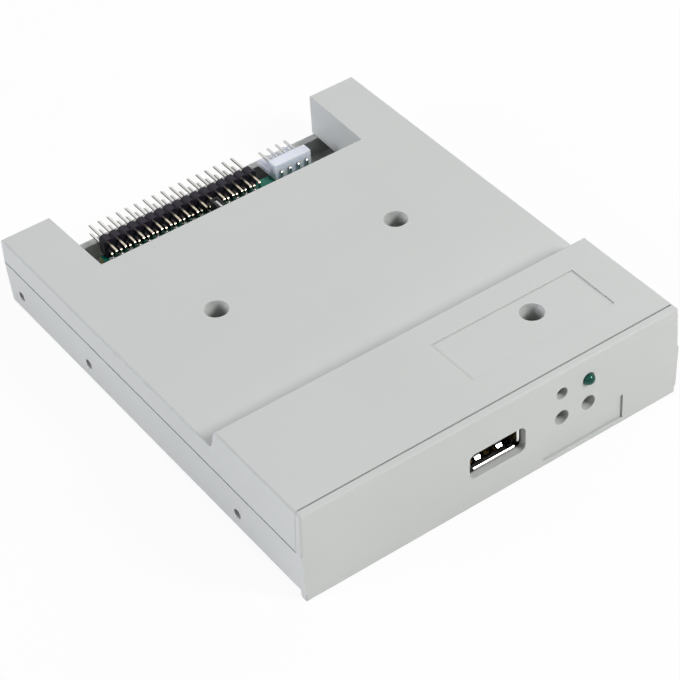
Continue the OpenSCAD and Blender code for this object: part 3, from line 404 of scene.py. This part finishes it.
# %% Metals
LINE_DEPTH = 0.003 * MM
SMOOTHER, ROUGHER = 0.06, 0.08  # how far the lines move the roughness down and up
METALS = {
    # name: colour, darker colour, roughness, line width in mm, stretch along x, y and z
    # The lines are drawn coarser than the real ones, which are too fine to show.
    "steel_zinc_plated_turned": ("#B4B6B6", "#8E9090", 0.36, 0.20, (1, 1, 6)),  # dull grey
    "nickel_plated_brass_stamped": ("#F4F4F2", "#DEDEDB", 0.12, 0.18, (1, 10, 1)),  # nearly a mirror
    "gold_plated_bronze_stamped": ("#EBC883", "#C79C55", 0.50, 0.15, (1, 8, 1)),  # warm, soft shine
    "tin_plated_brass_drawn": ("#D2D2D2", "#B2B2B1", 0.34, 0.15, (1, 8, 8)),  # pale, satin
    "solder_cooled": ("#C9C9C7", "#A0A09E", 0.24, 0.35, (1, 1, 1)),  # bright, uneven
    "aluminium_can_drawn": ("#CFD0D1", "#B2B3B4", 0.30, 0.15, (1, 1, 10)),  # silver, fine lines
}
metals = {}
for name, (pale, dark, rough, line_mm, stretch) in METALS.items():
    metals[name], tree, shader, at = start(name, pale, rough, Metallic=1.0)
    squeeze = tuple(1 / (line_mm * s) for s in stretch)
    drawn = add(tree, "VectorMath", {0: at, 1: squeeze}, operation="MULTIPLY")
    lines = add(tree, "TexNoise", {"Vector": drawn.outputs[0], "Scale": 1.0, "Detail": 3.0})
    tone = add(tree, "Mix", {0: lines.outputs[0], 6: linear(dark), 7: linear(pale)}, data_type="RGBA")
    shine = add(tree, "MapRange", {
        "Value": lines.outputs[0], "To Min": rough - SMOOTHER, "To Max": rough + ROUGHER})
    bump = add(tree, "Bump", {"Strength": 0.3, "Distance": LINE_DEPTH, "Height": lines.outputs[0]})
    join(tree, shader, {"Base Color": tone.outputs[2], "Normal": bump.outputs[0]})
    join(tree, shader, {"Roughness": shine.outputs[0]})
print(list(metals))

# %% [markdown]
# ## Header pins
# The bent legs of the header carry a thin flash of gold, while their free tips look like bare tin.
# Each pin is one solid, so the change is made in its material, where the pin passes the header body.
# The pins are stamped from plated strip, so their two cut sides, which face left and right, are dull.
# Their dark brown colour is partly the bare cut and partly painted reflection of the dark parts around the
# pins.

# %% Brass pins, stamped, with gold-flashed legs and tinned tips: warm at the bend, grey at the tip
LINE_MM = (0.15, 1.2, 1.2)  # width and length of the rolling lines, coarser than real so that they show
# Painted reflection of dark surroundings on the sideways faces: it begins at the first turn and is full at
# the second.
SIDE_SHADE_FROM, SIDE_SHADE_TO = 0.6, 0.8  # how far a face turns sideways before it looks cut, and fully so
SHINE_FROM, SHINE_TO = 0.2, 0.4
body_low, body_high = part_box("header_body")
header_pins, tree, shader, at = start("brass_pins_gold_flash", "#D8C49A", 0.28, Metallic=1.0)
along = add(tree, "SeparateXYZ", {0: at}).outputs["Y"]
tip = add(tree, "MapRange", {"Value": along, "From Min": body_low.y / MM, "From Max": body_high.y / MM})
drawn = add(tree, "VectorMath", {0: at, 1: tuple(1 / mm for mm in LINE_MM)}, operation="MULTIPLY")
lines = add(tree, "TexNoise", {"Vector": drawn.outputs[0], "Scale": 1.0, "Detail": 3.0})
gold = add(tree, "Mix", {0: lines.outputs[0], 6: linear("#B3A894"), 7: linear("#D3CBBB")}, data_type="RGBA")
tin = add(tree, "Mix", {0: lines.outputs[0], 6: linear("#B4B3B0"), 7: linear("#D2D1CE")}, data_type="RGBA")
tone = add(tree, "Mix", {0: tip.outputs[0], 6: gold.outputs[2], 7: tin.outputs[2]}, data_type="RGBA")
facing = add(tree, "SeparateXYZ", {0: add(tree, "NewGeometry").outputs["Normal"]})
sideways = add(tree, "Math", {0: facing.outputs["X"]}, operation="ABSOLUTE")
cut_side_shade = add(tree, "MapRange", {"Value": sideways.outputs[0], "From Min": SIDE_SHADE_FROM, "From Max": SIDE_SHADE_TO})
# Dull, dark sides: partly the bare cut, partly painted reflection of the dark parts around the pins.
dull_and_shaded = add(tree, "Mix", {0: cut_side_shade.outputs[0], 6: tone.outputs[2], 7: linear("#5C574E")}, data_type="RGBA")
shine = add(tree, "MapRange", {"Value": lines.outputs[0], "To Min": SHINE_FROM, "To Max": SHINE_TO})
join(tree, shader, {"Base Color": dull_and_shaded.outputs[2], "Roughness": shine.outputs[0]})
print(header_pins.name)

# %% [markdown]
# ## Small chips
# A chip resistor is a dark ceramic block with tinned ends, and a chip capacitor is a brown one. Both
# are plain blocks in the CAD, so the ends are drawn by how far a point lies from the row's middle.

# %% Fired ceramic: near-black blocks with bright tinned ends, and flecked brown ones
END_MM, FLECK_MM = 0.65, 0.3  # the tin begins this far from the middle; the flecks' size
row_low, row_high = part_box("chip_resistors")
resistor_ceramic, tree, shader, at = start("alumina_fired_tinned_ends", "#1B1B1D", 0.45, IOR=1.76)
along = add(tree, "SeparateXYZ", {0: at}).outputs["Y"]
middle = (row_low.y + row_high.y) / 2 / MM
away = add(tree, "Math", {0: along, 1: middle}, operation="SUBTRACT")
reach = add(tree, "Math", {0: away.outputs[0]}, operation="ABSOLUTE")
ends = add(tree, "Math", {0: reach.outputs[0], 1: END_MM}, operation="GREATER_THAN")
tone = add(tree, "Mix", {0: ends.outputs[0], 6: linear("#1B1B1D"), 7: linear("#BDBCB9")}, data_type="RGBA")
join(tree, shader, {"Base Color": tone.outputs[2], "Metallic": ends.outputs[0]})

capacitor_ceramic, tree, shader, at = start("titanate_fired", "#A9895F", 0.5, IOR=1.9)
fleck = add(tree, "TexNoise", {"Vector": at, "Scale": 1 / FLECK_MM})
tone = add(tree, "Mix", {0: fleck.outputs[0], 6: linear("#9B7C54"), 7: linear("#B6976C")}, data_type="RGBA")
join(tree, shader, {"Base Color": tone.outputs[2]})
print(resistor_ceramic.name, capacitor_ceramic.name)

# %% [markdown]
# ## Dressing the CAD nodes
# Each CAD node keeps its own solid and gets its material through its material slot. The table names
# the finish of every node, so a node without one would stop the script here.

# %% Materials on the CAD nodes
FINISHES = {
    "lower_case top_cover": case_plastic,
    "case_screws": metals["steel_zinc_plated_turned"],
    "main_board": board_laminate,
    "usb_shell switch_frames switch_domes": metals["nickel_plated_brass_stamped"],
    "usb_contacts jumper_posts": metals["gold_plated_bronze_stamped"],
    "header_upper_pins header_lower_pins": header_pins,
    "power_pins led_leads switch_pins jumper_clip": metals["tin_plated_brass_drawn"],
    "controller_leads regulator_leads": metals["tin_plated_brass_drawn"],
    "header_body": plastics["PBT_glass_filled_moulded"],
    "usb_insulator switch_bases jumper_base jumper_cap capacitor_bases": plastics["nylon_black_moulded"],
    "up_button down_button": plastics["acetal_black_moulded"],
    "controller_chip voltage_regulator": plastics["epoxy_compound_moulded"],
    "power_housing": white_nylon,
    "status_led": led_epoxy,
    "crystal capacitor_cans": metals["aluminium_can_drawn"],
    "chip_resistors": resistor_ceramic,
    "chip_capacitors": capacitor_ceramic,
}
finish_of = {name: made for names, made in FINISHES.items() for name in names.split()}
for name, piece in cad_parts.items():
    if not piece.material_slots:
        piece.data.materials.append(None)
    for slot in piece.material_slots:
        slot.material = finish_of[name]
print("dressed", len(finish_of), "of", len(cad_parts))

# %% [markdown]
# ## Broken edges
# No real edge is perfectly sharp. The roundings of the shells and of the metal are in the CAD, and
# need only smooth shading: the loaded mesh is split into loose triangles, so Weld joins it, Edge
# Split keeps the sharp edges, and Weighted Normal keeps flat faces flat in the light. On the small
# mouldings a Bevel modifier breaks the edges, once a planar Decimate has merged flat triangles.

# %% Broken edges
SAME_SPOT = 1e-6
FLAT, SHARP, BROKEN = radians(0.5), radians(35), radians(40)  # turns between two faces
EDGE_MM = {
    "header_body": 0.06,
    "power_housing jumper_cap jumper_base": 0.12,
    "up_button down_button": 0.25,
    "case_screws": 0.06,
    "controller_chip voltage_regulator": 0.12,
}
width_of = {name: width for names, width in EDGE_MM.items() for name in names.split()}
for name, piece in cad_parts.items():
    piece.data.shade_smooth()
    piece.modifiers.new("join_triangles", "WELD").merge_threshold = SAME_SPOT
    if name in width_of:
        flat = piece.modifiers.new("merge_flat_faces", "DECIMATE")
        flat.decimate_type = "DISSOLVE"
        flat.angle_limit = FLAT
        bevel = piece.modifiers.new("broken_edge", "BEVEL")
        bevel.width = width_of[name] * MM
        bevel.segments = 2
        bevel.angle_limit = BROKEN
        bevel.use_clamp_overlap = False
    else:
        piece.modifiers.new("sharp_edges", "EDGE_SPLIT").split_angle = SHARP
    piece.modifiers.new("even_shading", "WEIGHTED_NORMAL")
    shown = piece.evaluated_get(bpy.context.evaluated_depsgraph_get()).data
    print(name, len(piece.data.polygons), "->", len(shown.polygons), "faces")

# %% [markdown]
# ## Solder
# Where a leg goes through the board, solder climbs it in a hollow cone on a round pad. A cone with a
# straight side looks like a party hat, so each joint is turned from a curved profile, and all of them
# are one mesh. Their places come from the boxes of the pin nodes.

# %% Solder joints
PIN_MM = 0.5
ROW_PINS, POWER_PINS = 17, 4
board_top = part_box("main_board")[1].z
# radius and height in mm, from the board up
PAD = [(0.85, 0.0), (0.85, 0.04), (0.72, 0.06), (0.54, 0.16), (0.43, 0.34), (0.37, 0.58), (0.25, 0.60)]
SMALL_PAD = [(0.50, 0.0), (0.50, 0.06), (0.47, 0.25), (0.44, 0.45), (0.30, 0.46)]
SIDES = 20


def legs(node, count):
    """The middle of each leg of a row of bent pins, where it enters the board."""
    low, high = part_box(node)
    half_pin = PIN_MM * MM / 2
    step = (high.x - low.x - 2 * half_pin) / (count - 1)
    return [Vector((low.x + half_pin + step * i, low.y + half_pin, board_top)) for i in range(count)]


def turned(shape, middle, profile):
    """Adds a turned profile of radii and heights, in millimetres, to a mesh."""
    rings = []
    for radius, height in profile:
        ring = []
        for k in range(SIDES):
            angle = 2 * pi * k / SIDES
            spot = Vector((radius * cos(angle), radius * sin(angle), height)) * MM
            ring.append(shape.verts.new(middle + spot))
        rings.append(ring)
    for low, high in zip(rings, rings[1:]):
        for k in range(SIDES):
            shape.faces.new((low[k], low[k - SIDES + 1], high[k - SIDES + 1], high[k])).smooth = True
    shape.faces.new(rings[-1])
    shape.faces.new(rings[0][::-1])


shape = bmesh.new()
for spot in legs("header_upper_pins", ROW_PINS) + legs("header_lower_pins", ROW_PINS):
    turned(shape, spot, PAD)
for spot in legs("power_pins", POWER_PINS):
    turned(shape, spot, SMALL_PAD)
solder_mesh = bpy.data.meshes.new("solder_joints")
shape.to_mesh(solder_mesh)
shape.free()
solder_mesh.materials.append(metals["solder_cooled"])
solder = bpy.data.objects.new("solder_joints", solder_mesh)
bpy.context.scene.collection.objects.link(solder)
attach(solder, "case")
print("solder joints", 2 * ROW_PINS + POWER_PINS)
